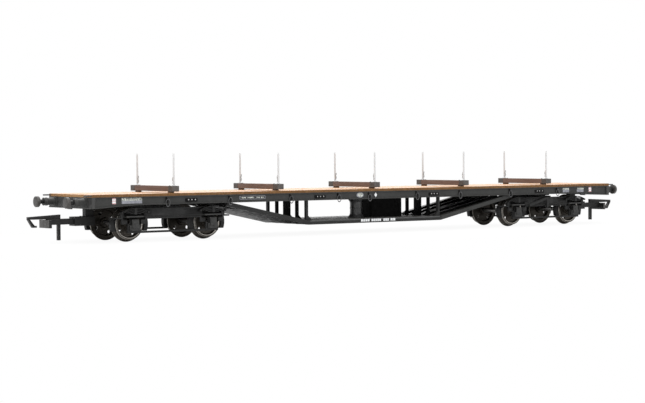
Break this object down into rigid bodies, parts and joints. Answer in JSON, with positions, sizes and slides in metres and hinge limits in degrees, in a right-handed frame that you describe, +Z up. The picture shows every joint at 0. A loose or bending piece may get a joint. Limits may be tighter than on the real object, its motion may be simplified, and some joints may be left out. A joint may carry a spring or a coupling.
{
  "type": "scale model of a bogie flat wagon",
  "caption": "Model bogie flat wagon: planked deck with timber bolsters and wire stanchions, trussed underframe, swivelling bogies, free wheels and hook couplings.",
  "frame": {"origin": "middle of the wagon in plan, at the level of the wheel flange bottoms", "axes": "+X along the wagon towards end b, +Y across it to the far side, +Z up"},
  "size_m": [0.281, 0.032, 0.031],
  "materials": {
    "deck_timber": "satin plastic coloured as tan deck boards",
    "bolster_timber": "matt plastic coloured as dark red-brown timber",
    "stanchion_wire": "bright drawn wire",
    "wheel_metal": "blackened metal with a bright tread",
    "axle_steel": "turned steel",
    "buffer_metal": "dark satin metal",
    "ring_wire": "dark wire",
    "coupling_plastic": "black moulded plastic",
    "truss_plastic": "dark grey moulded plastic",
    "bogie_plastic": "black moulded plastic",
    "brake_plastic": "black moulded plastic",
    "frame_plastic": "charcoal moulded plastic"
  },
  "bodies": {
    "wagon": {"body_bolster_a": "frame_plastic", "body_bolster_b": "frame_plastic", "bolster_1": "bolster_timber", "bolster_2": "bolster_timber", "bolster_3": "bolster_timber", "bolster_4": "bolster_timber", "bolster_5": "bolster_timber", "brake_cylinder": "brake_plastic", "brake_reservoir": "brake_plastic", "buffer_heads_a": "buffer_metal", "buffer_heads_b": "buffer_metal", "buffer_sockets_a": "frame_plastic", "buffer_sockets_b": "frame_plastic", "corner_plates_a": "frame_plastic", "corner_plates_b": "frame_plastic", "coupling_a_mount": "coupling_plastic", "coupling_b_mount": "coupling_plastic", "cross_bearers": "frame_plastic", "deck": "deck_timber", "headstock_a": "frame_plastic", "headstock_b": "frame_plastic", "lashing_rings_far": "ring_wire", "lashing_rings_near": "ring_wire", "solebar_far": "frame_plastic", "solebar_near": "frame_plastic", "stanchions_far": "stanchion_wire", "stanchions_near": "stanchion_wire", "truss_1": "truss_plastic", "truss_2": "truss_plastic", "truss_3": "truss_plastic", "truss_4": "truss_plastic", "truss_5": "truss_plastic", "truss_tray": "truss_plastic", "underframe_floor": "frame_plastic"},
    "bogie_a": {"bogie_a_axleboxes": "bogie_plastic", "bogie_a_brake_lever": "bogie_plastic", "bogie_a_brake_shoes": "bogie_plastic", "bogie_a_side_1": "bogie_plastic", "bogie_a_side_2": "bogie_plastic", "bogie_a_springs": "bogie_plastic", "bogie_a_transom": "bogie_plastic"},
    "bogie_b": {"bogie_b_axleboxes": "bogie_plastic", "bogie_b_brake_lever": "bogie_plastic", "bogie_b_brake_shoes": "bogie_plastic", "bogie_b_side_1": "bogie_plastic", "bogie_b_side_2": "bogie_plastic", "bogie_b_springs": "bogie_plastic", "bogie_b_transom": "bogie_plastic"},
    "wheelset_a_1": {"axle_a_1": "axle_steel", "wheels_a_1": "wheel_metal"},
    "wheelset_a_2": {"axle_a_2": "axle_steel", "wheels_a_2": "wheel_metal"},
    "hook_a": {"coupling_a_hook": "coupling_plastic"},
    "wheelset_b_1": {"axle_b_1": "axle_steel", "wheels_b_1": "wheel_metal"},
    "wheelset_b_2": {"axle_b_2": "axle_steel", "wheels_b_2": "wheel_metal"},
    "hook_b": {"coupling_b_hook": "coupling_plastic"}
  },
  "joints": [
    {"name": "bogie_a_swivel", "type": "hinge", "parent": "wagon", "child": "bogie_a", "pos_m": [-0.09, 0, 0.0105], "axis": [0, 0, 1], "range_deg": [-12, 12]},
    {"name": "wheelset_a_1_roll", "type": "hinge", "parent": "bogie_a", "child": "wheelset_a_1", "pos_m": [-0.074, 0, 0.0063], "axis": [0, 1, 0], "continuous": true},
    {"name": "wheelset_a_2_roll", "type": "hinge", "parent": "bogie_a", "child": "wheelset_a_2", "pos_m": [-0.106, 0, 0.0063], "axis": [0, 1, 0], "continuous": true},
    {"name": "hook_a_lift", "type": "hinge", "parent": "wagon", "child": "hook_a", "pos_m": [-0.1286, 0, 0.0075], "axis": [0, 1, 0], "range_deg": [0, 20]},
    {"name": "bogie_b_swivel", "type": "hinge", "parent": "wagon", "child": "bogie_b", "pos_m": [0.09, 0, 0.0105], "axis": [0, 0, 1], "range_deg": [-12, 12]},
    {"name": "wheelset_b_1_roll", "type": "hinge", "parent": "bogie_b", "child": "wheelset_b_1", "pos_m": [0.074, 0, 0.0063], "axis": [0, 1, 0], "continuous": true},
    {"name": "wheelset_b_2_roll", "type": "hinge", "parent": "bogie_b", "child": "wheelset_b_2", "pos_m": [0.106, 0, 0.0063], "axis": [0, 1, 0], "continuous": true},
    {"name": "hook_b_lift", "type": "hinge", "parent": "wagon", "child": "hook_b", "pos_m": [0.1286, 0, 0.0075], "axis": [0, -1, 0], "range_deg": [0, 20]}
  ]
}
